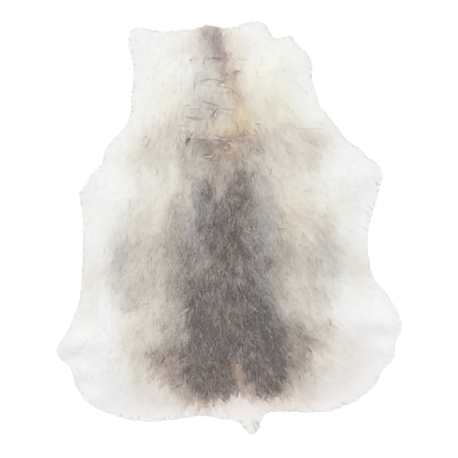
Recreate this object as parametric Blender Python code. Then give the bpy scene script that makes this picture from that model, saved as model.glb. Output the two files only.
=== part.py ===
"""Reindeer hide, coat side up, lying flat on a floor.

The hide is one piece, so it is one solid: the tanned skin with the coat that grows on it. Its underside is
the flesh side. It is flat on the floor, apart from soft folds that lift the edges of the leg flaps. Its
upper side is where the hair ends: deep over the back and the neck, thin on the flaps, raised into tufts and
split by the partings of the neck. Locks of hair reach out past the cut edge, which is the wall where their
roots are.

Metres, +Z up. +Y points from the tail to the neck, and +X to the right as seen from above.
"""

import math
import random

import bmesh
import bpy
from mathutils import Vector
from mathutils.geometry import delaunay_2d_cdt
from mathutils.kdtree import KDTree

MM = 0.001

# Coat and skin
EDGE_DEPTH = 8.5 * MM  # skin and hair together at the cut edge
BODY_DEPTH = 25.0 * MM  # the same, well inside the edge
EDGE_SLOPE = 135.0 * MM  # how far inside the edge the coat is at its full depth

# Tufts on the upper side
TUFT_ACROSS = 15.5 * MM  # spacing of the points across the hide
TUFT_ALONG = 20.5 * MM  # spacing of the points along the hide
TIP_RISE = (0.09, 0.18)  # of the coat's depth: how far a tuft's tip stands over the coat, least and most
HOLLOW_DROP = (0.02, 0.09)  # the same: how far the points between the tips lie under it
TUFT_LEAN = 4.5 * MM  # how far the hair carries a tuft's tip along
JITTER = 0.24  # of the spacing
TUFT_CLEARANCE = 0.65  # of the spacing across: tufts keep this far from the edge and the partings

# The way the hair lies, in degrees
HAIR_BACK = -90.0  # on the spine: straight back to the tail
HAIR_SPREAD = 48.0  # how far it turns outward down the sides
HAIR_REACH = 280.0 * MM  # how far from the spine it has made most of that turn

# Locks round the edge
LOCK_WIDTH = 17.5 * MM
LOCK_SPREAD = 0.28  # how unequal the locks' lengths are
LOCK_SWAY = 0.2  # of a lock's length: how far its tip swings sideways
LOCK_MID = 0.55  # of a lock's length: where its middle section lies
LOCK_SECTIONS = (  # of the root's width, of the root's height
    (0.66, 0.62),
    (0.20, 0.20),
)

# Underside
UNDER_SPACING = 48.0 * MM
UNDER_CLEARANCE = 0.55  # of the spacing: points keep this far inside the edge
LEAST_FOLD = 0.4 * MM  # where a fold would be lower than this, the skin stays on the floor

CURVE_STEPS = 12  # short steps to each span of the outline's curve
SEED = 4
FUR_COLOUR = (0.74, 0.71, 0.66, 1.0)

# The outline, clockwise from the neck's left corner, in millimetres from the middle of the hide.
# stretch: how far its locks reach past the skin, then its points (x, y).
OUTLINE = {
    "neck cut": (5, [
        (-294, 606), (-237, 603), (-210, 591), (-162, 597), (-93, 602), (-63, 614), (-30, 602),
        (6, 605), (36, 614), (63, 623), (99, 623), (117, 606), (129, 577), (153, 571), (177, 582),
        (187, 587), (195, 567),
    ]),
    "right of the neck": (8, [
        (216, 546), (237, 531), (248, 501), (249, 471), (246, 452), (258, 426), (264, 393),
        (276, 369), (297, 348), (315, 321), (339, 291), (369, 258),
    ]),
    "right foreleg": (10, [
        (399, 245), (417, 219), (447, 203), (461, 171), (456, 126), (444, 84),
    ]),
    "right flank": (12, [
        (422, 0), (420, -51), (425, -93), (432, -129), (444, -156),
    ]),
    "right hind leg": (8, [
        (471, -186), (492, -219), (510, -255), (519, -285), (516, -309), (500, -336), (497, -369),
        (491, -396), (465, -420), (450, -450), (428, -480), (396, -507), (357, -528), (321, -543),
    ]),
    "right of the rump": (10, [(288, -551), (213, -552), (141, -549), (108, -555)]),
    "tail": (14, [(96, -576), (93, -601), (77, -622), (54, -616), (37, -595), (20, -577)]),
    "left of the rump": (10, [
        (-21, -573), (-48, -564), (-93, -564), (-138, -570), (-201, -578), (-261, -578),
    ]),
    "left hind leg": (8, [
        (-321, -569), (-366, -552), (-426, -520), (-447, -495), (-462, -468), (-471, -432),
        (-485, -405), (-507, -389), (-519, -373), (-515, -348), (-483, -297), (-456, -234),
    ]),
    "left flank": (12, [(-449, -190), (-445, -110), (-443, -33), (-441, 27), (-447, 66)]),
    "left foreleg": (10, [
        (-454, 99), (-449, 123), (-429, 140), (-418, 172), (-396, 184), (-381, 207), (-378, 237),
        (-357, 267), (-309, 317),
    ]),
    "left of the neck": (8, [
        (-297, 351), (-291, 393), (-293, 417), (-286, 453), (-285, 495), (-294, 525), (-302, 555),
        (-300, 583),
    ]),
}

# Where the coat is deeper or thinner than its distance from the edge alone gives.
# place: middle x, y; reach across, along; change of depth. All in millimetres.
SWELLS = {
    "back": (-5, -80, 150, 330, 5.5),
    "nape": (-30, 430, 120, 140, 4.0),
    "right of the neck": (170, 430, 90, 120, 3.0),
    "left of the neck": (-200, 400, 80, 130, 3.0),
    "rump": (10, -430, 240, 90, 3.0),
    "tail": (68, -590, 28, 34, 7.0),
    "right flap": (440, -330, 90, 150, -4.0),
    "left flap": (-440, -370, 80, 140, -4.0),
}

# Soft folds where the skin leaves the floor. Each is a ridge from a point inside the hide to its edge.
# fold: inner x, y; outer x, y; height; half width. All in millimetres.
FOLDS = {
    "right flap, upper": (345, -262, 520, -292, 13, 38),
    "right flap, lower": (385, -345, 505, -375, 10, 24),
    "right flap, rear": (385, -430, 450, -470, 8, 26),
    "left flap, upper": (-355, -310, -520, -366, 12, 34),
    "left flap, middle": (-375, -412, -470, -440, 9, 26),
    "left flap, rear": (-330, -500, -420, -520, 8, 26),
    "right foreleg": (375, 150, 462, 165, 7, 34),
    "left foreleg": (-375, 165, -452, 118, 7, 26),
}

# Partings where the dense neck hair breaks open as the skin bends.
# Rows: middle x, y; length; turn in degrees; depth. Millimetres.
PARTINGS = (
    (-186, 504, 34, -5, 3.0),
    (-105, 489, 50, 48, 4.0),
    (-36, 507, 80, 0, 5.0),
    (-36, 438, 105, 2, 6.0),
    (-24, 364, 120, -8, 6.5),
    (-92, 326, 70, 4, 6.0),
    (-126, 271, 60, 8, 6.0),
    (22, 277, 120, 0, 5.5),
    (-45, 226, 72, -5, 5.0),
    (94, 231, 52, 5, 4.0),
    (237, 297, 95, 0, 4.0),
    (150, 352, 46, -3, 3.0),
)
PARTING_WIDTH = 8.0 * MM  # half width of its trough
PARTING_STEP = 15.0 * MM  # spacing of the points along it
PARTING_BANK = 1.5  # of its half width: how far out its banks lie


def smooth_step(t):
    t = min(max(t, 0.0), 1.0)
    return t * t * (3.0 - 2.0 * t)


def closed_curve(points, steps):
    """A closed Catmull-Rom curve through the points, with this many short steps to each span."""
    count = len(points)
    curve = []
    for i in range(count):
        a, b, c, d = (points[(i + k) % count] for k in (-1, 0, 1, 2))
        for s in range(steps):
            t = s / steps
            straight = 2 * b + (c - a) * t
            bend = (2 * a - 5 * b + 4 * c - d) * t**2 + (3 * b - 3 * c + d - a) * t**3
            curve.append(0.5 * (straight + bend))
    return curve


def evenly_spaced(curve, spacing):
    """Points at equal steps along a closed curve. Their third number rides along, not counted as length."""
    lengths = [0.0]
    for a, b in zip(curve, curve[1:] + curve[:1]):
        lengths.append(lengths[-1] + (b - a).xy.length)
    count = round(lengths[-1] / spacing)
    points = []
    at = 0
    for i in range(count):
        wanted = lengths[-1] * i / count
        while lengths[at + 1] < wanted:
            at += 1
        share = (wanted - lengths[at]) / (lengths[at + 1] - lengths[at])
        points.append(curve[at].lerp(curve[(at + 1) % len(curve)], share))
    return points


def edge_of_skin():
    """The skin's cut edge, the direction out of it and the reach of its locks, at each lock's side."""
    corners = [
        Vector((x, y, reach)) * MM for reach, stretch in OUTLINE.values() for x, y in stretch
    ]
    outline = evenly_spaced(closed_curve(corners, CURVE_STEPS), LOCK_WIDTH)
    edge = []
    for i, here in enumerate(outline):
        along = (outline[(i + 1) % len(outline)] - outline[i - 1]).xy.normalized()
        outward = Vector((-along.y, along.x))
        edge.append((here.xy - outward * here.z, outward, here.z))
    return edge


def fold_height(place):
    """How far the skin is off the floor."""
    height = 0.0
    for x0, y0, x1, y1, rise, half_width in FOLDS.values():
        start = Vector((x0, y0)) * MM
        run = Vector((x1, y1)) * MM - start
        along = (place - start).dot(run) / run.length_squared
        across = abs((place - start).cross(run)) / run.length
        height += rise * MM * smooth_step(along) * math.exp(-((across / (half_width * MM)) ** 2))
    return height if height > LEAST_FOLD else 0.0


def parting_depth(place):
    """How deep the partings cut into the hair tips."""
    depth = 0.0
    for x, y, length, turn, cut in PARTINGS:
        run = Vector((math.cos(math.radians(turn)), math.sin(math.radians(turn))))
        offset = place - Vector((x, y)) * MM
        beyond = max(abs(offset.dot(run)) - length * MM / 2, 0.0)
        away = math.hypot(offset.cross(run), beyond)
        depth = max(depth, cut * MM * math.exp(-((away / PARTING_WIDTH) ** 2)))
    return depth


def coat_depth(place, inside):
    """From the skin's underside to the hair tips, at this distance inside the edge."""
    depth = EDGE_DEPTH + (BODY_DEPTH - EDGE_DEPTH) * smooth_step(inside / EDGE_SLOPE)
    for x, y, across, along, change in SWELLS.values():
        away = ((place.x / MM - x) / across) ** 2 + ((place.y / MM - y) / along) ** 2
        depth += change * MM * math.exp(-away)
    return max(depth, EDGE_DEPTH)


def hair_direction(place):
    """The way the hair lies: back to the tail, and out from the spine down the sides."""
    turn = math.radians(HAIR_BACK + HAIR_SPREAD * math.tanh(place.x / HAIR_REACH))
    return Vector((math.cos(turn), math.sin(turn)))


def parting_points():
    """Points in each parting's trough and on both its banks."""
    points = []
    for x, y, length, turn, _ in PARTINGS:
        run = Vector((math.cos(math.radians(turn)), math.sin(math.radians(turn))))
        bank = Vector((-run.y, run.x)) * PARTING_WIDTH * PARTING_BANK
        steps = max(round(length * MM / PARTING_STEP), 2)
        for i in range(steps + 1):
            middle = Vector((x, y)) * MM + run * (i / steps - 0.5) * length * MM
            points += [middle - bank, middle, middle + bank]
    return points


def within(edge_points, place):
    """Whether a place lies inside the closed line of points."""
    inside = False
    for a, b in zip(edge_points, edge_points[1:] + edge_points[:1]):
        if (a.y > place.y) != (b.y > place.y):
            if place.x < a.x + (place.y - a.y) * (b.x - a.x) / (b.y - a.y):
                inside = not inside
    return inside


def tree_of(points):
    tree = KDTree(len(points))
    for i, p in enumerate(points):
        tree.insert(p.to_3d(), i)
    tree.balance()
    return tree


def lattice(edge_points, across, along, margin, chance):
    """Points of a jittered triangular lattice inside the edge, and whether each is a tip: one in three."""
    tree = tree_of(edge_points)
    reach_x = max(abs(p.x) for p in edge_points)
    reach_y = max(abs(p.y) for p in edge_points)
    points = []
    for row in range(-int(reach_y / along), int(reach_y / along) + 1):
        for column in range(-int(reach_x / across) - 1, int(reach_x / across) + 1):
            place = Vector(((column + (row % 2) / 2) * across, row * along))
            place += Vector((chance.uniform(-1, 1) * across, chance.uniform(-1, 1) * along)) * JITTER
            is_tip = (column - row // 2 - row) % 3 == 0
            if within(edge_points, place) and tree.find(place.to_3d())[2] > margin:
                points.append((place, is_tip))
    return points


def triangulated(edge_points, inner):
    """Triangles that fill the edge and use every inner point, counter-clockwise as seen from above.

    They count the edge's points first, then the inner ones.
    """
    count = len(edge_points)
    points = edge_points + inner
    ring = [(i, (i + 1) % count) for i in range(count)]
    _, _, faces, sources, _, _ = delaunay_2d_cdt(points, ring, [], 0, 1e-6, True)
    named = [[sources[corner][0] for corner in face] for face in faces]
    # The triangles fill the convex outline, so those in its bays are left out.
    return [face for face in named if within(edge_points, sum((points[i] for i in face), Vector((0, 0))) / 3)]


def upper_side(edge, chance):
    """The hair tips: places in the plane, heights and triangles."""
    edge_points = [place for place, _, _ in edge]
    tree = tree_of(edge_points)
    split = parting_points()
    split_tree = tree_of(split)
    clear = TUFT_CLEARANCE * TUFT_ACROSS
    free = [
        (place, is_tip)
        for place, is_tip in lattice(edge_points, TUFT_ACROSS, TUFT_ALONG, clear, chance)
        if split_tree.find(place.to_3d())[2] > clear
    ]
    inner = [place for place, _ in free] + split
    tips = [is_tip for _, is_tip in free] + [False] * len(split)
    faces = triangulated(edge_points, inner)
    corners = [
        place.to_3d() + Vector((0, 0, fold_height(place) + coat_depth(place, 0.0)))
        for place in edge_points
    ]
    for place, is_tip in zip(inner, tips):
        depth = coat_depth(place, tree.find(place.to_3d())[2])
        rise = chance.uniform(*TIP_RISE) if is_tip else -chance.uniform(*HOLLOW_DROP)
        lean = hair_direction(place) * TUFT_LEAN * (depth / BODY_DEPTH) if is_tip else Vector((0, 0))
        height = fold_height(place) + depth * (1 + rise) - parting_depth(place)
        corners.append((place + lean).to_3d() + Vector((0, 0, height)))
    return corners, faces


def under_side(edge, chance):
    """The skin's flesh side: places, heights and triangles, looking down."""
    edge_points = [place for place, _, _ in edge]
    found = lattice(edge_points, UNDER_SPACING, UNDER_SPACING, UNDER_CLEARANCE * UNDER_SPACING, chance)
    inner = [place for place, _ in found]
    corners = [place.to_3d() + Vector((0, 0, fold_height(place))) for place in edge_points + inner]
    return corners, [tuple(reversed(face)) for face in triangulated(edge_points, inner)]


def grow_lock(mesh, wall, root, chance):
    """Extrudes one face of the edge's wall into a lock of four sides that tapers to its tip."""
    start, end, outward, reach = root
    length = reach * (1 + LOCK_SPREAD * chance.uniform(-1, 1))
    sideways = Vector((outward.y, -outward.x)) * chance.uniform(-LOCK_SWAY, LOCK_SWAY) * length
    middle = (start + end) / 2
    half = (end - start) / 2
    for share, (wide, high) in zip((LOCK_MID, 1.0), LOCK_SECTIONS):
        wall = bmesh.ops.extrude_discrete_faces(mesh, faces=[wall])["faces"][0]
        centre = middle + (outward * length + sideways) * share
        floor = Vector((0, 0, fold_height(centre)))
        rise = Vector((0, 0, EDGE_DEPTH * high))
        first, second = (centre - half * wide).to_3d() + floor, (centre + half * wide).to_3d() + floor
        for corner, place in zip(wall.verts, (first + rise, second + rise, second, first)):
            corner.co = place


def hide_mesh():
    chance = random.Random(SEED)
    edge = edge_of_skin()
    count = len(edge)
    upper, upper_faces = upper_side(edge, chance)
    under, under_faces = under_side(edge, chance)
    mesh = bmesh.new()
    above = [mesh.verts.new(p) for p in upper]
    below = [mesh.verts.new(p) for p in under]
    for face in upper_faces:
        mesh.faces.new([above[i] for i in face])
    for face in under_faces:
        mesh.faces.new([below[i] for i in face])
    walls = []
    for i in range(count):
        j = (i + 1) % count
        walls.append(mesh.faces.new((above[i], above[j], below[j], below[i])))
    for i, wall in enumerate(walls):
        here, there = edge[i], edge[(i + 1) % count]
        outward = (here[1] + there[1]).normalized()
        grow_lock(mesh, wall, (here[0], there[0], outward, (here[2] + there[2]) / 2), chance)
    bmesh.ops.recalc_face_normals(mesh, faces=mesh.faces)
    lowest = Vector([min(v.co[k] for v in mesh.verts) for k in range(3)])
    highest = Vector([max(v.co[k] for v in mesh.verts) for k in range(3)])
    middle = (lowest + highest) / 2
    bmesh.ops.translate(mesh, verts=mesh.verts, vec=(-middle.x, -middle.y, -lowest.z))
    made = bpy.data.meshes.new("hide")
    mesh.to_mesh(made)
    mesh.free()
    return made


def fur_material():
    material = bpy.data.materials.new("fur")
    material.use_nodes = True
    shader = material.node_tree.nodes["Principled BSDF"]
    shader.inputs["Base Color"].default_value = FUR_COLOUR
    shader.inputs["Roughness"].default_value = 0.75
    shader.inputs["Metallic"].default_value = 0.0
    return material


def main():
    for old in list(bpy.data.objects):
        bpy.data.objects.remove(old)
    hide = bpy.data.objects.new("hide", hide_mesh())
    hide.data.materials.append(fur_material())
    bpy.context.scene.collection.objects.link(hide)


main()
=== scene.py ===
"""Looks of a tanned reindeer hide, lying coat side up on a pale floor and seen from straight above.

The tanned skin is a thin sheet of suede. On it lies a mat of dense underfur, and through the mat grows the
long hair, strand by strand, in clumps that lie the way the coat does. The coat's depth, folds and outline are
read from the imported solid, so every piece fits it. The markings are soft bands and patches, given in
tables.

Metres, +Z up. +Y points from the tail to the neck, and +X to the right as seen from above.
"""

import math

import bpy
import numpy as np
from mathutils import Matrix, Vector
from mathutils.bvhtree import BVHTree
from mathutils.geometry import delaunay_2d_cdt


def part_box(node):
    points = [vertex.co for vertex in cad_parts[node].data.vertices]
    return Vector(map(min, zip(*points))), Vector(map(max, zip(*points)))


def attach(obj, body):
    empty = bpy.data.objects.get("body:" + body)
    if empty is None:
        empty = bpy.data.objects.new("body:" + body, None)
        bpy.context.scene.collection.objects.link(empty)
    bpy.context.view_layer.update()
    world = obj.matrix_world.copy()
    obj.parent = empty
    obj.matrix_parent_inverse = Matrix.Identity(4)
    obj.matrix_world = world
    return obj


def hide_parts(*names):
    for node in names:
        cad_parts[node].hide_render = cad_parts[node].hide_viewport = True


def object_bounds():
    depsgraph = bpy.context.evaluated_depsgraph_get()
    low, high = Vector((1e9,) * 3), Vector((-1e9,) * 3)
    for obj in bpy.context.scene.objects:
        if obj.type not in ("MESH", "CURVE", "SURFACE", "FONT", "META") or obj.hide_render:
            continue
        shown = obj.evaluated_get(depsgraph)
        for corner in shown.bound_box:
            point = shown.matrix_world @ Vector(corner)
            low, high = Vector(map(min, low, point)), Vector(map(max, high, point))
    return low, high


MM = 0.001
SEED = 11
WAVE_GRID = 64  # random numbers each way before the waves come again

# Reading the solid
SURVEY_STEP = 6 * MM
SURVEY_MARGIN = 48 * MM
LOCK_DEPTH = 7.3 * MM  # where the solid is no deeper than this, it is a lock
EDGE_ANGLE = 0.4  # degrees between the lines on which the skin's edge is looked for
EDGE_FIRST_STEP = 8 * MM  # along such a line
EDGE_LAST_STEP = 0.2 * MM
EDGE_STEP = 6 * MM  # spacing of the points along the skin's edge
SMOOTHING = 3  # passes over the solid's facets
SHAPE_SMOOTHING = 7  # passes that leave only the folds and the crown
OUTWARD_SMOOTHING = 4  # passes over the way out to the nearest edge
EDGE_FADE = 40 * MM  # the coat is shaded as if it were level where it runs out
SLOPE_SHARE = 1.15  # how strongly the folds show in the way that the hair catches the light

# Skin and underfur
SKIN_THICKNESS = 1.8 * MM
SKIN_INSET = 0.5 * MM  # how far the skin's edge is in from where the hair grows thin
NIBBLE = 0.8 * MM  # how uneven its edge is
NIBBLE_SIZE = 22 * MM
SKIN_SPACING = 12 * MM
MAT_SPACING = 10 * MM
MAT_INSET = 2 * MM  # how far the mat's edge is in from the skin's
MAT_SHARE = (0.90, 0.76)  # of the coat's depth: how far up the mat reaches under pale and dark hair
MAT_LUMPS = 1.6 * MM
FULL_DEPTH = 25 * MM  # lumps and relief are less where the coat is less deep than this
LATTICE_ROWS = 0.87  # of the spacing: how far apart the rows of a lattice are
LATTICE_JITTER = 0.25
LATTICE_INSET = 0.6  # how far in from a piece's edge it starts

# Hair, with a pair where pale and dark hair differ or chance picks from a range
CLUMP = np.array([4.8, 14.5]) * MM  # the spacing of clumps, across and along
STRANDS = 12  # to a clump
STRAND_WIDTH = (2 * MM, 1.6 * MM)
HAIR_LENGTH = (21 * MM, 40 * MM)  # at the skin's edge, and this far inside it
LENGTH_SLOPE = 120 * MM
ROOT_SHARE = (0.07, 0.40)  # of the coat's depth: how far below its top the strands start
ROOT_CURVE = 1.6  # how quickly they rise to it
CLUMP_INSET = 1.5 * MM  # from the skin's edge
PINCH = (0.10, 0.50)  # how far the strands of a clump come together at its tip
CLUMP_LENGTHS = (0.80, 1.15)
STRAND_LENGTHS = (0.72, 1.08)
LENGTH_SHARE = (1.0, 0.72)
CLUMP_TURN = (7.0, 13.0)  # how much clumps differ in the way they lie, in degrees
TUFT_TURN = (10.0, 30.0)  # and tufts of clumps
TUFT_SIZE = 20 * MM
SWAY = 14.0  # and the whole coat
SWAY_SIZE = 60 * MM
STRAY_CLUMPS = 0.16  # the share of clumps that lie astray
STRAY_TURN = (12.0, 46.0)
BOW = (1.5 * MM, 3 * MM)  # how far strands bow sideways
BOW_SIZE = 24 * MM
RELIEF = (0.08, 0.85)  # how uneven the hair lies
RELIEF_SIZE = 26 * MM
SPREAD = 0.7  # how far clumps differ in bow and relief
ROLL = (0.10, 0.30)  # how far strands turn about their own length, in radians
TIP_SPREAD = 0.9 * MM
MARKED_AT = 0.6  # of the length: where a clump's markings are looked up
SPILL = 6 * MM  # and how far that strays along the coat
FLAT_LIGHT = 0.5  # how far dark strands are shaded by their own flat side
# how much darker partings make the underfur and sunk roots: partly painted shade, partly darker roots
PARTING_DARKNESS = 0.42
PARTING_WIDTH = 3.2  # millimetres
SUNK_BELOW = 2.0  # hair is sunk deepest this far under a parting's line
SUNK_WIDTH = 3.6
SUNK_SHARE = 0.15  # of the coat's depth
PARTING_STRAY = 2.0  # how far hair strays past a parting's line before it ends
FRINGE_SPACING = 0.38 * MM
FRINGE_LENGTH = (7 * MM, 15 * MM)
FRINGE_INSET = (1 * MM, 7 * MM)
FRINGE_TURN = 16.0
FRINGE_FLOW = 0.6  # how far it lies the way the coat does, and not straight out
FRINGE_RISE = (0.30, 0.95)  # of the coat's depth
WISP_SPACING = 1.75  # millimetres along a wisp or a parting
LEAST_WISP = 5  # strands
WISP_LENGTH = 15  # millimetres
WISP_WIDTH = (1.1 * MM, 2 * MM)
WISP_TURN = 9.0  # degrees
WISP_BEND = 0.10  # of its length: how far a row of wisps bends
WISP_RISE = (-0.3 * MM, 0.9 * MM)  # over the coat
LOOSE_SPACING = 19 * MM
LOOSE_TURN = 38.0  # degrees
LOOSE_LENGTH = (8.0, 22.0)  # millimetres
LOOSE_CHANGE = (0.04, 0.46)  # how dark or pale
LOOSE_INSET = 20 * MM
LOOSE_SHARE = 1.3  # how far they go on where the coat gets paler
CALM = 0.50  # how much straighter the hair lies over the rump
CALM_BELOW = -170 * MM
RUFFLED = 0.8  # how much more the dark loose wisps stand out towards the tail
RUFFLED_BELOW = -260 * MM
RUFFLED_BLEND = 120 * MM
OVERHANG = 15 * MM  # past the skin's edge, where the coat has come down to the floor
RIM_REACH = (0.60, 0.95)  # of the overhang: how far out strands end
LEAST_HEIGHT = 0.4 * MM  # of any hair over the floor
ATLAS_ROW = 12 * MM  # strands in such a row across the hide are neighbours on the map for baking

# The way the hair lies: back to the tail, and turned out by this many degrees down each side
HAIR_BACK = -90.0
LEFT_LEAN = -14.0
RIGHT_LEAN = 34.0
LEFT_REACH = 380 * MM  # from the back line to where it leans most
RIGHT_REACH = 190 * MM
RIGHT_START = 0.15  # of the reach, on the left of the back line
EDGE_PULL = 0.9  # how far the hair turns out at the edge, where it already lies that way or nearly
EDGE_AGREES = 0.35
EDGE_REACH = 45 * MM

# Stations along a strand, from root to tip, and its width there
STATIONS = np.array([0.0, 0.36, 0.70, 1.0])
TAPER = np.array([1.0, 0.95, 0.62, 0.0])
CORNERS = 7  # of a strand: two at each station but the last, its tip


def smooth_step(t):
    t = np.clip(t, 0, 1)
    return t * t * (3 - 2 * t)


def unit(vectors):
    return vectors / np.maximum(np.linalg.norm(vectors, axis=-1, keepdims=True), 1e-9)


def between(pair, share):
    return pair[0] + (pair[1] - pair[0]) * share


def blended(grid, cell, share):
    """The four numbers round each place in a grid, blended."""
    i, j = cell[..., 0], cell[..., 1]
    u, v = share[..., 0], share[..., 1]
    near = grid[i, j] * (1 - u) + grid[i + 1, j] * u
    far = grid[i, j + 1] * (1 - u) + grid[i + 1, j + 1] * u
    return near * (1 - v) + far * v


class Field:
    """Numbers on an even grid over the floor, read anywhere by blending the four nearest."""

    def __init__(self, low, values):
        self.low = low
        self.values = values

    def at(self, places):
        spot = (places - self.low) / SURVEY_STEP
        spot = np.clip(spot, 0, np.array(self.values.shape) - 1.001)
        cell = spot.astype(int)
        return blended(self.values, cell, spot - cell)


def waves(places, size, seed):
    """Smooth random numbers from -1 to 1 that change over about this size."""
    chance = np.random.default_rng(seed)
    grid = chance.uniform(-1, 1, (WAVE_GRID, WAVE_GRID))
    spot = places / size + WAVE_GRID / 2
    cell = np.floor(spot).astype(int)
    return blended(grid, cell % (WAVE_GRID - 1), smooth_step(spot - cell))


def wavy(places, rows):
    """Waves on waves. A row gives how strong they are, their size and their seed."""
    return sum(strength * waves(places, size, seed) for strength, size, seed in rows)


def spread_outward(values):
    """Fills the cells that hold no number with the mean of their neighbours, until none is left."""
    rows, columns = values.shape
    while np.isnan(values).any():
        padded = np.pad(values, 1, constant_values=np.nan)
        near = np.stack([padded[i : i + rows, j : j + columns] for i in range(3) for j in range(3)])
        count = (~np.isnan(near)).sum(0)
        mean = np.nan_to_num(near).sum(0) / np.maximum(count, 1)
        values = np.where(np.isnan(values) & (count > 0), mean, values)
    return values


def smoothed(values, passes):
    """A grid blended with its neighbours, one way and then the other, in each pass."""
    for _ in range(2 * passes):
        padded = np.pad(values, ((1, 1), (0, 0)), "edge")
        values = ((padded[:-2] + 2 * values + padded[2:]) / 4).T
    return values


def evenly_spaced(ring, spacing):
    """The closed line again, with points at equal steps."""
    closed = np.vstack([ring, ring[:1]])
    lengths = np.append(0.0, np.cumsum(np.linalg.norm(np.diff(closed, axis=0), axis=1)))
    count = round(lengths[-1] / spacing)
    wanted = np.arange(count) * lengths[-1] / count
    return np.stack([np.interp(wanted, lengths, closed[:, k]) for k in (0, 1)], 1)


def within(ring, places):
    """Whether each place lies inside the closed line."""
    inside = np.zeros(len(places), bool)
    x, y = places[:, 0], places[:, 1]
    for (ax, ay), (bx, by) in zip(ring, np.roll(ring, -1, axis=0)):
        if ay != by:
            crosses = (ay > y) != (by > y)
            inside ^= crosses & (x < ax + (y - ay) * (bx - ax) / (by - ay))
    return inside


def nearest(ring, places):
    """The number of each place's nearest point on the ring, and how far it is."""
    found = np.zeros(len(places), int)
    away = np.full(len(places), np.inf)
    for number, point in enumerate(ring):
        gap = np.linalg.norm(places - point, axis=1)
        found[gap < away] = number
        away = np.minimum(gap, away)
    return found, away


class Form:
    """The form of the solid: the skin's edge, how high the skin lies over the floor and the coat's depth."""

    def __init__(self, solid):
        self.tree = BVHTree.FromObject(solid, bpy.context.evaluated_depsgraph_get())
        low, high = (np.array(corner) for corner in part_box(solid.name))
        self.ceiling = high[2] + 1.0
        low = low[:2] - SURVEY_MARGIN
        count = np.ceil((high[:2] + SURVEY_MARGIN - low) / SURVEY_STEP).astype(int) + 1
        places = np.indices(count).reshape(2, -1).T * SURVEY_STEP + low
        heights = np.array([self.heights(x, y) for x, y in places])
        self.edge = self.edge_of_skin(max(np.abs(low)) * 1.6)
        along = unit(np.roll(self.edge, -1, axis=0) - np.roll(self.edge, 1, axis=0))
        self.outward = np.stack([along[:, 1], -along[:, 0]], 1)
        number, away = nearest(self.edge, places)
        sign = np.where(within(self.edge, places), 1.0, -1.0)
        heights[sign < 0] = np.nan
        top, lift = heights.T.reshape(2, *count)
        self.inside = Field(low, (away * sign).reshape(count))
        self.lift = Field(low, smoothed(spread_outward(lift), 1))
        self.depth = Field(low, smoothed(spread_outward(top - lift), SMOOTHING))
        rounded = smoothed(spread_outward(top), SHAPE_SMOOTHING)
        fade = smooth_step(self.inside.values / EDGE_FADE)
        slopes = np.gradient(rounded, SURVEY_STEP)
        self.slope_x, self.slope_y = (Field(low, slope * fade * SLOPE_SHARE) for slope in slopes)
        outward = self.outward[number].reshape(*count, 2)
        self.out_x, self.out_y = (Field(low, smoothed(outward[..., k], OUTWARD_SMOOTHING)) for k in (0, 1))

    def heights(self, x, y):
        """The solid's top and bottom over a place on the floor, or no numbers beside it."""
        top = self.tree.ray_cast(Vector((x, y, self.ceiling)), Vector((0, 0, -1)))[0]
        if top is None:
            return np.nan, np.nan
        return top.z, self.tree.ray_cast(Vector((x, y, -1.0)), Vector((0, 0, 1)))[0].z

    def edge_of_skin(self, far):
        """The skin's cut edge, counter-clockwise: where the solid grows deep, on lines from its middle."""
        ring = []
        for angle in np.radians(np.arange(0.0, 360.0, EDGE_ANGLE)):
            way = np.array([math.cos(angle), math.sin(angle)])
            reach = far
            step = EDGE_FIRST_STEP
            while step > EDGE_LAST_STEP:
                top, bottom = self.heights(*(way * reach))
                if top - bottom > LOCK_DEPTH:
                    reach += step
                    step /= 2
                reach -= step
            ring.append(way * reach)
        ring = np.array(ring)
        for _ in range(2):
            ring = (np.roll(ring, 1, axis=0) + 2 * ring + np.roll(ring, -1, axis=0)) / 4
        return evenly_spaced(ring, EDGE_STEP)

    def coat_depth(self, places):
        """From the skin's underside to the ends of the hair. Past the skin's edge it runs down to nothing."""
        past = np.clip(-self.inside.at(places) / OVERHANG, 0, 1)
        return self.depth.at(places) * np.sqrt(1 - past**2)

    def normal(self, places):
        """The way the coat's surface faces, with its small lumps left out."""
        return unit(np.stack([-self.slope_x.at(places), -self.slope_y.at(places), np.ones(len(places))], 1))

    def flow(self, places):
        """The way the hair lies, as a direction: back to the tail, out down the sides and out at the edge."""
        right = smooth_step(places[:, 0] / RIGHT_REACH + RIGHT_START)
        left = smooth_step(-places[:, 0] / LEFT_REACH)
        turn = np.radians(HAIR_BACK + RIGHT_LEAN * right + LEFT_LEAN * left)
        lie = np.stack([np.cos(turn), np.sin(turn)], 1)
        out = np.stack([self.out_x.at(places), self.out_y.at(places)], 1)
        agree = np.clip(EDGE_AGREES + (lie * out).sum(1), 0, 1)
        pull = EDGE_PULL * agree * np.exp(-np.clip(self.inside.at(places), 0, None) / EDGE_REACH)
        return unit(lie + out * pull[:, None])


# ---- Markings ----

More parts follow.
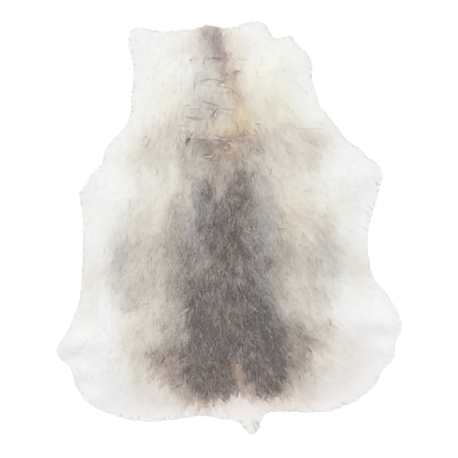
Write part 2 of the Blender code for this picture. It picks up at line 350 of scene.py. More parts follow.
# The dark marking down the back is painted in four layers, each over the one before. A row gives y, the left
# and the right side in millimetres, how dark the layer is there, and how well it covers what it lies on.
HAZE = (
    (470, -150, 130, 0.05, 0),
    (400, -170, 150, 0.10, 0.8),
    (330, -200, 200, 0.17, 1),
    (270, -275, 300, 0.23, 1),
    (215, -295, 300, 0.22, 1),
    (165, -290, 290, 0.17, 1),
    (100, -300, 278, 0.12, 1),
    (20, -335, 300, 0.20, 1),
    (-70, -362, 340, 0.31, 1),
    (-150, -368, 322, 0.33, 1),
    (-235, -335, 300, 0.26, 1),
    (-320, -325, 310, 0.22, 1),
    (-400, -310, 305, 0.26, 1),
    (-455, -295, 285, 0.21, 1),
    (-510, -270, 260, 0.13, 0.8),
    (-575, -210, 230, 0.05, 0),
)
VEIL = (
    (310, -110, 60, 0.30, 0),
    (270, -140, 90, 0.42, 1),
    (215, -150, 132, 0.42, 1),
    (140, -150, 122, 0.42, 1),
    (70, -180, 136, 0.44, 1),
    (-30, -196, 182, 0.47, 1),
    (-75, -214, 190, 0.49, 1),
    (-155, -206, 156, 0.49, 1),
    (-240, -194, 174, 0.49, 1),
    (-290, -192, 222, 0.50, 1),
    (-325, -198, 240, 0.53, 1),
    (-365, -234, 240, 0.58, 1),
    (-410, -240, 238, 0.56, 1),
    (-455, -215, 216, 0.49, 1),
    (-500, -165, 190, 0.37, 1),
    (-534, -130, 175, 0.24, 0),
)
SADDLE = (
    (190, -70, 50, 0.55, 0),
    (160, -82, 60, 0.56, 1),
    (100, -90, 76, 0.64, 1),
    (15, -106, 90, 0.68, 1),
    (-70, -128, 114, 0.71, 1),
    (-150, -138, 118, 0.74, 1),
    (-195, -138, 110, 0.78, 1),
    (-240, -128, 128, 0.82, 1),
    (-280, -118, 168, 0.86, 1),
    (-325, -112, 184, 0.87, 1),
    (-360, -132, 188, 0.87, 1),
    (-405, -140, 190, 0.87, 1),
    (-455, -138, 174, 0.86, 1),
    (-495, -112, 148, 0.82, 1),
    (-522, -84, 140, 0.60, 0),
)
CORE = (
    (185, 16, 50, 0.78, 0),
    (160, 10, 56, 0.78, 1),
    (100, -36, 50, 0.82, 1),
    (50, -46, 50, 0.86, 1),
    (10, -46, 52, 0.90, 1),
    (-75, -50, 58, 0.87, 1),
    (-125, -66, 64, 0.85, 1),
    (-160, -104, 80, 0.87, 1),
    (-195, -114, 90, 0.92, 1),
    (-240, -112, 102, 0.92, 1),
    (-290, -106, 138, 0.94, 1),
    (-325, -96, 158, 0.95, 1),
    (-370, -104, 162, 0.94, 1),
    (-440, -108, 164, 0.93, 1),
    (-493, -88, 142, 0.86, 1),
    (-517, -70, 122, 0.70, 0),
)
LAYERS = ((HAZE, 50), (VEIL, 34), (SADDLE, 25), (CORE, 19))  # each with how soft its sides are

# The tan stripe down the nape: y, middle and half width in millimetres, and its warmth
STRIPE = (
    (545, -10, 22, 0.0),
    (505, -2, 24, 0.35),
    (450, 4, 26, 0.60),
    (390, 22, 34, 0.65),
    (340, 34, 48, 0.75),
    (290, 32, 58, 0.85),
    (260, 18, 58, 0.75),
    (220, 6, 50, 0.50),
    (180, 0, 40, 0.30),
    (120, 0, 36, 0.10),
    (60, 0, 36, 0.0),
)

# Soft patches on each marking: their middle and their reach across and along, in millimetres, and what they
# add to the marking, in hundredths. A few dark ones are painted shade on the folds of the right hind flap.
DARK_PATCHES = (
    # Neck
    (-55, 575, 40, 46, 46), (-145, 545, 34, 40, 5), (-165, 540, 40, 50, 5), (32, 540, 26, 50, 5),
    (28, 535, 34, 56, 10), (-28, 522, 25, 46, 34), (-140, 500, 24, 60, 5), (-40, 490, 34, 22, 13),
    (-78, 480, 34, 90, 22), (-12, 465, 26, 56, 26), (28, 435, 26, 58, 20), (40, 365, 30, 40, 9),
    (-62, 350, 58, 70, 20),
    # Withers and shoulders
    (-237, 315, 30, 24, 10), (-40, 306, 50, 26, -15), (280, 290, 50, 32, 10), (-285, 280, 22, 26, 6),
    (-115, 269, 7, 8, 55), (272, 262, 30, 20, 6), (-58, 225, 18, 50, 10), (-325, 225, 26, 30, 7),
    (213, 225, 20, 26, -7), (-100, 205, 24, 26, -10), (24, 185, 16, 46, 10), (-102, 178, 18, 28, -6),
    (-64, 172, 18, 26, -12), (-10, 168, 14, 24, 8), (-10, 165, 24, 26, -14), (240, 165, 40, 24, -6),
    (75, 165, 16, 24, -7), (-32, 165, 16, 20, 7), (16, 160, 14, 16, -12), (-240, 155, 24, 30, -7),
    (-60, 135, 14, 20, 8), (33, 135, 14, 14, 7), (-235, 130, 18, 22, -5),
    # Back, sides and flanks
    (-140, 120, 26, 50, -10), (-12, 118, 17, 34, -27), (-57, 115, 16, 32, 15), (78, 100, 18, 22, -10),
    (170, 96, 20, 20, 8), (-57, 94, 13, 18, 27), (-117, 90, 16, 22, 9), (96, 90, 16, 26, -8),
    (-102, 60, 16, 20, 7), (-57, 30, 15, 16, -8), (305, 12, 22, 34, 9), (284, 0, 14, 100, 4),
    (-102, -15, 14, 24, -9), (-100, -45, 18, 40, -9), (-14, -55, 16, 14, 6), (345, -60, 30, 40, 6),
    (-280, -80, 16, 26, 7), (213, -81, 20, 18, -6), (33, -90, 14, 26, -8), (124, -92, 18, 16, 15),
    (-12, -96, 16, 20, 12), (-57, -98, 16, 22, -7), (350, -115, 30, 24, 14), (396, -120, 34, 70, 13),
    (78, -150, 16, 18, -10), (215, -152, 60, 22, -9), (-117, -153, 16, 20, -10), (-415, -185, 30, 90, 12),
    (124, -188, 14, 14, 8), (122, -190, 16, 16, 11), (-152, -190, 26, 20, 10), (258, -190, 24, 16, -6),
    (-14, -205, 18, 44, -11),
    # Rump; (352, -318) and (350, -385) are painted shade in the right hind flap's crease and on its lower
    # lobe
    (196, -260, 22, 12, 9), (-285, -262, 56, 22, -12), (-104, -262, 16, 16, -14), (208, -266, 22, 14, 8),
    (78, -275, 18, 26, 16), (262, -290, 46, 18, 11), (34, -290, 18, 26, -14), (303, -297, 20, 16, 15),
    (150, -308, 18, 18, -5), (352, -318, 34, 38, 8), (303, -320, 18, 30, 5), (248, -352, 36, 34, 11),
    (-165, -362, 28, 24, 16), (-215, -368, 50, 24, 9), (-147, -368, 20, 24, 20), (34, -372, 14, 18, 10),
    (-235, -372, 18, 14, 8), (-80, -375, 22, 20, -9), (350, -385, 56, 70, 5), (262, -388, 26, 20, -9),
    (-100, -392, 18, 18, -6), (-415, -395, 40, 30, -5),
    # Hind flaps, the saddle's ragged ends and the tail; (428, -432) is painted shade on the right hind flap's
    # lower lobe
    (-237, -405, 22, 18, -7), (-345, -410, 30, 30, 6), (210, -412, 18, 20, 6), (34, -428, 13, 42, -50),
    (428, -432, 34, 30, 5), (180, -432, 50, 22, -8), (-222, -442, 26, 16, 7), (-162, -453, 20, 16, 9),
    (-40, -466, 16, 18, 6), (-200, -474, 50, 24, -15), (165, -478, 22, 20, -10), (70, -480, 20, 20, -24),
    (-100, -488, 20, 24, -8), (-57, -490, 18, 24, -10), (44, -508, 32, 32, -55), (78, -512, 20, 14, 18),
    (-12, -513, 14, 18, 18), (185, -514, 85, 18, 10), (25, -520, 30, 12, 8), (-102, -520, 24, 20, 12),
    (-60, -522, 105, 16, 12), (130, -548, 90, 18, 5), (-125, -552, 60, 22, 9), (73, -586, 9, 9, 34),
)
WARM_PATCHES = (
    (130, 410, 80, 130, 45), (-205, 400, 56, 110, 30), (-45, 310, 60, 26, 45), (-330, 175, 36, 50, 25),
    (-200, 90, 50, 70, 20), (335, 70, 40, 60, 30), (195, 60, 70, 90, 28), (-385, 10, 40, 60, 15),
    (-10, -46, 26, 34, 30), (235, -365, 60, 60, 24), (-165, -420, 50, 46, 22), (20, -420, 70, 40, 25),
    (330, -425, 50, 50, 15), (34, -455, 26, 50, 45), (20, -530, 300, 44, 15),
)
COOL_PATCHES = (
    (-55, 545, 50, 60, 35), (-90, 430, 36, 70, 40), (-96, 10, 40, 120, 85), (108, -20, 42, 170, 60),
    (-350, -70, 60, 160, 40), (310, -110, 60, 130, 40), (97, -258, 36, 42, 75), (-118, -300, 34, 46, 40),
    (80, -588, 14, 14, 80),
)
ROSY_PATCHES = (
    (-50, 560, 46, 46, 50), (-20, 506, 24, 16, 45), (20, 400, 60, 60, 30), (-90, 10, 40, 120, 50),
    (330, -390, 70, 70, 30), (-180, -430, 60, 44, 70), (40, -515, 330, 52, 65),
)
PATCHES = {"dark": DARK_PATCHES, "warm": WARM_PATCHES, "cool": COOL_PATCHES, "rosy": ROSY_PATCHES}

# The partings of the coat, dark lines that are partly painted shade where the coat opens and partly the dark
# hair under it: middle, length, turn in degrees, and how dark. Six on one spot make the black tuft at the
# left end of the longest.
PARTINGS = (
    (-43, 510, 46, 0, 0.50), (-69, 501, 36, 75, 0.32), (-111, 508, 13, 35, 0.40), (-92, 462, 14, 0, 0.16),
    (-103, 429, 22, 88, 0.50), (-63, 443, 36, 4, 0.30), (-24, 444, 32, -2, 0.40), (-9, 420, 46, -12, 0.28),
    (22, 404, 38, -40, 0.22), (26, 466, 22, -6, 0.45), (-1, 517, 26, 20, 0.16), (47, 506, 30, -12, 0.14),
    (-51, 370, 48, -20, 0.38), (-41, 346, 30, 48, 0.50), (-100, 330, 56, -3, 0.42), (-100, 356, 30, 0, 0.16),
    (-3, 356, 46, -10, 0.24), (-134, 304, 34, -4, 0.24), (-121, 264, 14, 78, 1.00), (-118, 262, 10, 60, 1.00),
    (-123, 259, 12, 86, 1.00), (-120, 268, 10, 70, 0.90), (-122, 263, 9, 88, 1.00), (-118, 265, 9, 80, 1.00),
    (-111, 279, 16, 60, 0.50), (-79, 264, 66, -4, 0.38), (-22, 260, 54, -2, 0.38), (8, 273, 54, 0, 0.42),
    (-30, 273, 20, -20, 0.40), (48, 275, 66, 2, 0.28), (81, 288, 18, -40, 0.30), (89, 311, 13, -5, 0.42),
    (-78, 254, 8, 20, 0.40), (-33, 250, 13, 86, 0.28), (-12, 232, 12, -60, 0.30), (-67, 219, 30, 4, 0.42),
    (-60, 209, 25, -14, 0.36), (-34, 222, 26, 3, 0.32), (87, 229, 40, -3, 0.22), (-31, 186, 12, -30, 0.28),
    (237, 297, 90, 0, 0.12),
)

# Painted highlights: pale wisps over the coat beside the partings, in the same way: how pale
PARTING_HIGHLIGHTS = (
    (-104, 516, 12, 30, 0.5), (3, 506, 20, -45, 0.5), (-33, 440, 16, 0, 0.4), (-36, 376, 16, -25, 0.5),
    (-53, 349, 14, -30, 0.5), (-38, 340, 12, 60, 0.6), (-102, 336, 34, 2, 0.4), (0, 266, 34, 3, 0.5),
    (12, 250, 22, -20, 0.6), (-8, 240, 13, 15, 0.6), (3, 226, 18, 10, 0.5), (-58, 213, 24, 3, 0.7),
    (-40, 268, 20, 10, 0.4),
)

# How far the markings stray from where they are set: axis, size of the waves, reach in millimetres, and seed
DRIFT = (
    (0, 60 * MM, 10.0, 21),
    (0, 24 * MM, 6.0, 23),
    (0, 11 * MM, 4.0, 29),
    (1, 60 * MM, 10.0, 22),
    (1, 24 * MM, 6.0, 24),
    (1, 11 * MM, 6.0, 30),
)
# Waves in the dark marking, in the lines of partings and wisps, in millimetres, and in the partings' strength
UNEVEN = ((0.26, 17 * MM, 25), (0.18, 40 * MM, 26))
PARTING_SWAY = ((5.0, 26 * MM, 51), (2.4, 9 * MM, 52))
WISP_SWAY = ((2.0, 20 * MM, 54),)
PARTING_CHANGE = ((0.4, 14 * MM, 53),)
PARTING_STRENGTH = 0.75
UNEVEN_TO = 1.32  # the darkness that would be even again, as white is
TINGES = (("warm", 0.17, 38 * MM, 27), ("cool", 0.30, 42 * MM, 28))  # of the dark hair


def along_rows(rows, y):
    """The rows' values at each y, blended from row to row."""
    rows = np.array(rows)[::-1]
    return (np.interp(y, rows[:, 0], rows[:, k]) for k in range(1, rows.shape[1]))


def markings(places):
    """How dark, warm, cool and rosy the coat is at each place, from 0 to 1, with painted shade on the right
    hind flap.
    """
    spots = places / MM
    for axis, size, reach, seed in DRIFT:
        spots[:, axis] += waves(places, size, seed) * reach
    marks = {kind: np.zeros(len(places)) for kind in PATCHES}
    for rows, soft in LAYERS:
        left, right, level, cover = along_rows(rows, spots[:, 1])
        cover = cover * smooth_step((spots[:, 0] - left) / soft / 2 + 0.5)
        cover *= smooth_step((right - spots[:, 0]) / soft / 2 + 0.5)
        marks["dark"] += (level - marks["dark"]) * cover
    middle, half, warmth = along_rows(STRIPE, spots[:, 1])
    marks["warm"] += warmth * np.exp(-(((spots[:, 0] - middle) / half) ** 2))
    for kind, rows in PATCHES.items():
        for x, y, across, along, change in rows:
            away = ((spots[:, 0] - x) / across) ** 2 + ((spots[:, 1] - y) / along) ** 2
            marks[kind] += change / 100 * np.exp(-away)
    grey = marks["dark"] * (UNEVEN_TO - marks["dark"])
    marks["dark"] += grey * wavy(places, UNEVEN)
    for kind, share, size, seed in TINGES:
        marks[kind] += share * np.clip(marks["dark"], 0, 0.8) * waves(places, size, seed)
    return np.clip(np.stack(list(marks.values()), 1), 0, 1)


def parting_lines(spots):
    """For each parting: how near each spot is to its length, and how far above its line, in millimetres."""
    sway = wavy(spots * MM, PARTING_SWAY)
    strength = PARTING_STRENGTH + wavy(spots * MM, PARTING_CHANGE)
    for x, y, length, turn, depth in PARTINGS:
        c, s = math.cos(math.radians(turn)), math.sin(math.radians(turn))
        right = spots[:, 0] - x
        up = spots[:, 1] - y + sway
        # 0 in the middle and 1 at the ends, past which the parting soon runs out
        off = np.abs(right * c + up * s) / (length / 2)
        yield smooth_step(1.9 - 1.7 * off) * strength * min(1.0, depth * 2), up * c - right * s


def parting_shade(places):
    """How dark a parting makes the underfur: partly painted shade in the gap, partly the roots that it lays
    bare.
    """
    shade = np.zeros(len(places))
    for near, above in parting_lines(places / MM):
        shade = np.maximum(shade, near * np.exp(-((above / PARTING_WIDTH) ** 2)))
    return shade


def parted(root, tip, stray):
    """The share of each strand that is left where it ends at a parting, and how far it grows under one."""
    share = np.ones(len(root))
    sunk = np.zeros(len(root))
    for (near, above), (_, beyond) in zip(parting_lines(root / MM), parting_lines(tip / MM)):
        above = above + stray
        beyond = beyond + stray
        crosses = (above > 0) & (beyond < 0)
        kept = above / np.maximum(above - beyond, 1e-6)
        share = np.where(crosses, np.minimum(share, 1 - (1 - kept) * np.clip(near * 1.2, 0, 1)), share)
        sunk = np.maximum(sunk, near * np.exp(-(((above + SUNK_BELOW) / SUNK_WIDTH) ** 2)))
    return share, sunk


# ---- Materials ----


def linear(*levels):
    """A colour given as it looks on a screen, from 0 to 255 and not near 0, as the numbers for shaders."""
    return (*(((level / 255 + 0.055) / 1.055) ** 2.4 for level in levels), 1.0)


# Darkness of the coat, and its colour there
DARKEST = 1.25  # a few wisps are darker than any marking
COAT_SHADES = (
    (0.00, 232, 232, 232),
    (0.06, 228, 227, 223),
    (0.12, 223, 221, 213),
    (0.20, 217, 212, 203),
    (0.31, 206, 199, 188),
    (0.42, 193, 185, 175),
    (0.57, 180, 171, 162),
    (0.72, 165, 155, 148),
    (0.83, 150, 140, 136),
    (0.94, 132, 122, 119),
    (1.00, 118, 109, 106),
    (DARKEST, 56, 51, 48),
)
# How far strands, clumps and roots differ from the coat round them; the darker roots are partly painted shade
STRAND_CONTRAST = 0.45
TUFT_CONTRAST = 0.60
ROOT_CONTRAST = 0.45
# Some strands and clumps stand out, and which they are goes by their chance from 0 to 1
PALE_TIPS = 0.35
PALE_TIPS_FROM = 0.93
DARK_STRANDS = 0.7
DARK_STRANDS_TO = 0.04
PALE_CLUMPS = 0.35
PALE_CLUMPS_FROM = 0.955
DARK_CLUMPS = 0.45
DARK_CLUMPS_TO = 0.05
# What the colours are multiplied by where the coat is warm and pale, warm and dark, cool, or rosy
CREAM = linear(255, 253, 222)
TAN = linear(248, 224, 207)
SLATE = linear(253, 254, 255)
ROSE = linear(254, 243, 247)


class Nodes:
    """Adds nodes to a tree, from left to right, and links them."""

    def __init__(self, tree):
        self.tree = tree

    def add(self, kind, **settings):
        node = self.tree.nodes.new(kind)
        node.location = (len(self.tree.nodes) * 200, 0)
        for name, value in settings.items():
            setattr(node, name, value)
        return node

    def link(self, source, target):
        self.tree.links.new(source, target)

    def feed(self, socket, value):
        """A socket takes another socket's values, or a plain number or colour."""
        if isinstance(value, bpy.types.NodeSocket):
            self.link(value, socket)
        else:
            socket.default_value = value

    def maths(self, operation, a, b=0.0, c=0.0, clamp=False):
        node = self.add("ShaderNodeMath", operation=operation, use_clamp=clamp)
        for socket, value in zip(node.inputs, (a, b, c)):
            self.feed(socket, value)
        return node.outputs[0]

    def times(self, a, b, clamp=False):
        return self.maths("MULTIPLY", a, b, clamp=clamp)

    def less(self, a, b):
        return self.maths("SUBTRACT", a, b)

    def times_plus(self, a, b, c):
        return self.maths("MULTIPLY_ADD", a, b, c)

    def mix(self, share, a, b, blend="MIX"):
        node = self.add("ShaderNodeMix", data_type="RGBA", blend_type=blend)
        self.feed(node.inputs["Factor"], share)
        self.feed(node.inputs["A"], a)
        self.feed(node.inputs["B"], b)
        return node.outputs["Result"]

    def grey(self, value):
        """The same number for red, green and blue."""
        node = self.add("ShaderNodeCombineColor")
        for socket in node.inputs:
            self.feed(socket, value)
        return node.outputs[0]

    def noise(self, scale, detail):
        node = self.add("ShaderNodeTexNoise")
        node.inputs["Scale"].default_value = scale
        node.inputs["Detail"].default_value = detail
        return node.outputs["Fac"]


STRAND_PARTS = ("Along", "Chance", "Tuft")


def coat_colours():
    """A node group that turns the markings of a strand into its colour."""
    tree = bpy.data.node_groups.new("coat colours", "ShaderNodeTree")
    tree.interface.new_socket(name="Markings", in_out="INPUT", socket_type="NodeSocketColor")
    for name in ("Rosy", *STRAND_PARTS):
        tree.interface.new_socket(name=name, in_out="INPUT", socket_type="NodeSocketFloat")
    tree.interface.new_socket(name="Colour", in_out="OUTPUT", socket_type="NodeSocketColor")
    n = Nodes(tree)
    given = n.add("NodeGroupInput").outputs
    marks = n.add("ShaderNodeSeparateColor")
    n.link(given["Markings"], marks.inputs[0])
    dark, warm, cool = marks.outputs
    # Strands differ most where the coat is neither white nor dark.
    grey = n.times(n.maths("POWER", dark, 1.5), n.less(0.93, n.times(dark, 0.62)))
    stray = n.times(n.less(0.5, given["Chance"]), STRAND_CONTRAST)
    wisp = n.times(n.less(0.5, given["Tuft"]), TUFT_CONTRAST)
    varied = n.times_plus(grey, n.maths("ADD", stray, wisp), dark)
    # Hair is darker at its root, partly painted shade deep in the coat and partly its own colour, and a few
    # strands have pale tips or are dark all along.
    root = n.maths("POWER", n.less(1.0, given["Along"]), 2.0)
    rooted = n.times_plus(n.times(root, grey), ROOT_CONTRAST, varied)
    tip = n.times(n.maths("GREATER_THAN", given["Chance"], PALE_TIPS_FROM), given["Along"])
    tipped = n.times_plus(n.times(tip, dark), -PALE_TIPS, rooted)
    black = n.times(n.maths("LESS_THAN", given["Chance"], DARK_STRANDS_TO), grey)
    blackened = n.times_plus(black, DARK_STRANDS, tipped)
    # Here and there the ends of a whole clump are pale, or dark; on clumps that lie astray this is partly
    # painted highlight and shade.
    end = n.times(n.maths("POWER", given["Along"], 2.0), n.maths("POWER", dark, 2.0))
    pale = n.times(n.maths("GREATER_THAN", given["Tuft"], PALE_CLUMPS_FROM), end)
    deep = n.times(n.maths("LESS_THAN", given["Tuft"], DARK_CLUMPS_TO), end)
    flecked = n.maths("ADD", blackened, n.less(n.times(deep, DARK_CLUMPS), n.times(pale, PALE_CLUMPS)))
    limited = n.maths("MINIMUM", flecked, n.maths("MAXIMUM", dark, 1.0))
    shade = n.times(limited, 1 / DARKEST, clamp=True)
    ramp = n.add("ShaderNodeValToRGB")
    elements = ramp.color_ramp.elements
    while len(elements) < len(COAT_SHADES):
        elements.new(0.5)
    for element, (place, *levels) in zip(elements, COAT_SHADES):
        element.position = place / DARKEST
        element.color = linear(*levels)
    n.link(shade, ramp.inputs[0])
    tint = n.mix(n.times(dark, 3.0, clamp=True), CREAM, TAN)
    tanned = n.mix(warm, ramp.outputs[0], tint, "MULTIPLY")
    bright = n.add("ShaderNodeRGBToBW")
    n.link(tanned, bright.inputs[0])
    slate = n.mix(cool, tanned, n.mix(1.0, n.grey(bright.outputs[0]), SLATE, "MULTIPLY"))
    n.link(n.mix(given["Rosy"], slate, ROSE, "MULTIPLY"), n.add("NodeGroupOutput").inputs["Colour"])
    return tree


def new_material(name, looks):
    material = bpy.data.materials.new(name)
    material.use_nodes = True
    shader = material.node_tree.nodes["Principled BSDF"]
    for title, value in looks.items():
        shader.inputs[title].default_value = value
    return material, Nodes(material.node_tree), shader


def coat_material(name, roughness, gloss, colours):
    """The coat's colour is read from the marks that each strand carries."""
    material, n, shader = new_material(name, {"Roughness": roughness, "Specular IOR Level": gloss})
    marks = n.add("ShaderNodeAttribute", attribute_name="markings")
    strand = n.add("ShaderNodeAttribute", attribute_name="strand")
    parts = n.add("ShaderNodeSeparateXYZ")
    n.link(strand.outputs["Vector"], parts.inputs[0])
    coat = n.add("ShaderNodeGroup", node_tree=colours)
    n.link(marks.outputs["Color"], coat.inputs["Markings"])
    n.link(marks.outputs["Alpha"], coat.inputs["Rosy"])
    for k, part in enumerate(STRAND_PARTS):
        n.link(parts.outputs[k], coat.inputs[part])
    n.link(coat.outputs["Colour"], shader.inputs["Base Color"])
    return material


def suede_material():
    material, n, shader = new_material("suede", {"Roughness": 0.85})
    spots = n.noise(9.0, 4.0)
    nap = n.noise(240.0, 3.0)
    tone = n.mix(spots, linear(226, 214, 190), linear(240, 232, 214))
    n.link(n.mix(n.times(nap, 0.25), tone, linear(200, 184, 156)), shader.inputs["Base Color"])
    bump = n.add("ShaderNodeBump")
    bump.inputs["Strength"].default_value = 0.4
    bump.inputs["Distance"].default_value = 0.6 * MM
    n.link(nap, bump.inputs["Height"])
    n.link(bump.outputs[0], shader.inputs["Normal"])
    return material


# ---- Meshes ----


def placed(name, data):
    thing = bpy.data.objects.new(name, data)
    bpy.context.scene.collection.objects.link(thing)
    return thing


def new_piece(name, points, faces, material):
    """A piece from points and a list of arrays of faces, each array with one number of corners."""
    mesh = bpy.data.meshes.new(name)
    mesh.from_pydata(points, [], [corners for block in faces for corners in block.tolist()])
    mesh.validate()
    mesh.shade_smooth()
    mesh.materials.append(material)
    return placed(name, mesh)


def mark(piece, colours, strand):
    """Gives a piece's points their markings, and how far along their strand they are with its two chances."""
    layer = piece.data.attributes.new("markings", "FLOAT_COLOR", "POINT")
    layer.data.foreach_set("color", np.asarray(colours, np.float32).ravel())
    layer = piece.data.attributes.new("strand", "FLOAT_VECTOR", "POINT")
    layer.data.foreach_set("vector", np.asarray(strand, np.float32).ravel())


def mark_level(piece, colours, chance):
    """Marks a slab, whose points come twice, as hair near its roots."""
    chances = chance.uniform(0.3, 0.7, (2 * len(colours), 2))
    mark(piece, np.vstack([colours, colours]), np.column_stack([np.full(len(chances), 0.3), chances]))


def staggered(form, spacing, jitter, margin, chance):
    """Places in staggered rows, strewn by up to the jitter, that lie farther inside the edge than margin."""
    low, high = form.edge.min(0), form.edge.max(0)
    columns, rows = (np.arange(low[k], high[k], spacing[k]) for k in (0, 1))
    x, y = np.meshgrid(columns, rows)
    x = x + (np.arange(len(rows)) % 2)[:, None] * spacing[0] / 2
    places = np.stack([x.ravel(), y.ravel()], 1)
    places += chance.uniform(-1, 1, places.shape) * jitter
    return places[form.inside.at(places) > margin]


def lattice(form, spacing, margin, chance):
    """Evenly spread places."""
    return staggered(form, (spacing, spacing * LATTICE_ROWS), spacing * LATTICE_JITTER, margin, chance)


def triangulated(ring, inner):
    """Triangles that fill the ring and use every inner place, counter-clockwise as seen from above."""
    count = len(ring)
    points = np.vstack([ring, inner])
    pairs = [(i, (i + 1) % count) for i in range(count)]
    _, _, faces, sources, _, _ = delaunay_2d_cdt([Vector(p) for p in points], pairs, [], 0, 1e-6, True)
    faces = np.array([[sources[corner][0] for corner in face] for face in faces])
    return points, faces[within(ring, points[faces].mean(1))]


def slab(name, points, faces, rim, low, high, material):
    """A closed piece between two heights over the same places. Its rim is the first places, in a ring."""
    count = len(points)
    around = np.arange(rim)
    after = (around + 1) % rim
    walls = np.stack([around, after, after + count, around + count], 1)[:, ::-1]
    corners = np.vstack([np.column_stack([points, high]), np.column_stack([points, low])])
    return new_piece(name, corners, [faces, faces[:, ::-1] + count, walls], material)


def make_skin(form, suede, underfur, chance):
    nibble = waves(form.edge, NIBBLE_SIZE, 5)[:, None] * NIBBLE
    ring = form.edge + form.outward * (nibble - SKIN_INSET)
    inner = lattice(form, SKIN_SPACING, SKIN_INSET + SKIN_SPACING * LATTICE_INSET, chance)
    points, faces = triangulated(ring, inner)
    low = form.lift.at(points)
    high = low + SKIN_THICKNESS
    piece = slab("hide_skin", points, faces, len(ring), low, high, suede)
    piece.data.materials.append(underfur)
    hairy = np.ones(len(piece.data.polygons), np.int32)
    hairy[len(faces) : 2 * len(faces)] = 0
    piece.data.polygons.foreach_set("material_index", hairy)
    mark_level(piece, markings(points), chance)
    return piece


def vividness(shade):
    """How much the hair is like the dark hair of the back, and not like the smooth pale hair round it."""
    return smooth_step(shade * 1.1 - 0.05)


def make_underfur(form, material, chance):
    ring = form.edge - form.outward * MAT_INSET
    inner = lattice(form, MAT_SPACING, MAT_INSET + MAT_SPACING * LATTICE_INSET, chance)
    points, faces = triangulated(ring, inner)
    floor = form.lift.at(points) + SKIN_THICKNESS
    deep = form.coat_depth(points)
    colours = markings(points)
    vivid = vividness(colours[:, 0])
    lumps = MAT_LUMPS * (deep / FULL_DEPTH) * (0.3 + 0.7 * vivid) * chance.uniform(-1, 1, len(points))
    thick = np.maximum(deep * between(MAT_SHARE, vivid) + lumps, SKIN_THICKNESS + 1 * MM)
    high = form.lift.at(points) + thick
    piece = slab("underfur", points, faces, len(ring), floor + 0.1 * MM, high, material)
    # Along the partings the underfur is darker: partly painted shade in the gap, partly the bared roots.
    colours[:, 0] += (1 - colours[:, 0]) * parting_shade(points) * PARTING_DARKNESS
    mark_level(piece, colours, chance)
    return piece


def atlas(count, order):
    """Where each strand's corners lie on the map for baking: a narrow strip in its own cell."""
    side = math.ceil(math.sqrt(count))
    cell = np.empty(count, int)
    cell[order] = np.arange(count)
    origin = np.stack([cell % side, cell // side], 1)
    half = 0.34 * TAPER[:3, None] * np.array([-1, 1])
    across = np.append(0.5 + half.ravel(), 0.5)
    along = np.append(np.repeat(0.08 + 0.84 * STATIONS[:3], 2), 0.92)
    return (origin[:, None] + np.stack([across, along], 1)) / side


def straight(root, tip):
    """Places at the stations from each root to its tip."""
    t = STATIONS[:, None]
    return root[:, None] * (1 - t) + tip[:, None] * t


def hair_piece(name, flat, height, facing, normals, widths, colours, chances, material, deepened=0.0):
    """Strands as one piece. flat and height give each strand's places at the stations, facing where its flat
    side looks, normals how it is shaded, and deepened how much darker it is at each station."""
    path = np.concatenate([flat, height[..., None]], 2)
    colours = np.repeat(colours[:, None], len(STATIONS), axis=1)
    colours[..., 0] += (1 - colours[..., 0]) * deepened
    count = len(path)
    ahead = np.gradient(path, axis=1) * (1, 1, 0)
    aside = unit(np.cross(ahead, facing[:, None]))
    reach = aside * (widths[:, None] * TAPER / 2)[..., None]
    points = np.empty((count, CORNERS, 3))
    points[:, 0:6:2] = (path - reach)[:, :3]
    points[:, 1:6:2] = (path + reach)[:, :3]
    points[:, 6] = path[:, 3]
    points[..., 2] = np.maximum(points[..., 2], LEAST_HEIGHT)
    start = np.arange(count)[:, None] * CORNERS
    quads = np.concatenate([start + (0, 1, 3, 2), start + (2, 3, 5, 4)])
    piece = new_piece(name, points.reshape(-1, 3), [quads, start + (4, 5, 6)], material)
    piece.data.normals_split_custom_set_from_vertices(np.repeat(normals, CORNERS, axis=0).tolist())
    station = [0, 0, 1, 1, 2, 2, 3]
    strand = np.column_stack([np.tile(STATIONS[station], count), np.repeat(chances, CORNERS, axis=0)])
    mark(piece, colours[:, station], strand)
    rows = (path[:, 2, 1] / ATLAS_ROW).astype(int)
    order = np.lexsort((path[:, 2, 0] * np.where(rows % 2, -1, 1), rows))
    corners = np.empty(len(piece.data.loops), np.int32)
    piece.data.loops.foreach_get("vertex_index", corners)
    layer = piece.data.uv_layers.new(name="OFBake")
    layer.uv.foreach_set("vector", atlas(count, order).reshape(-1, 2)[corners].astype(np.float32).ravel())
    return piece


def turned(ways, degrees):
    c, s = np.cos(np.radians(degrees)), np.sin(np.radians(degrees))
    return np.stack([ways[:, 0] * c - ways[:, 1] * s, ways[:, 0] * s + ways[:, 1] * c], 1)


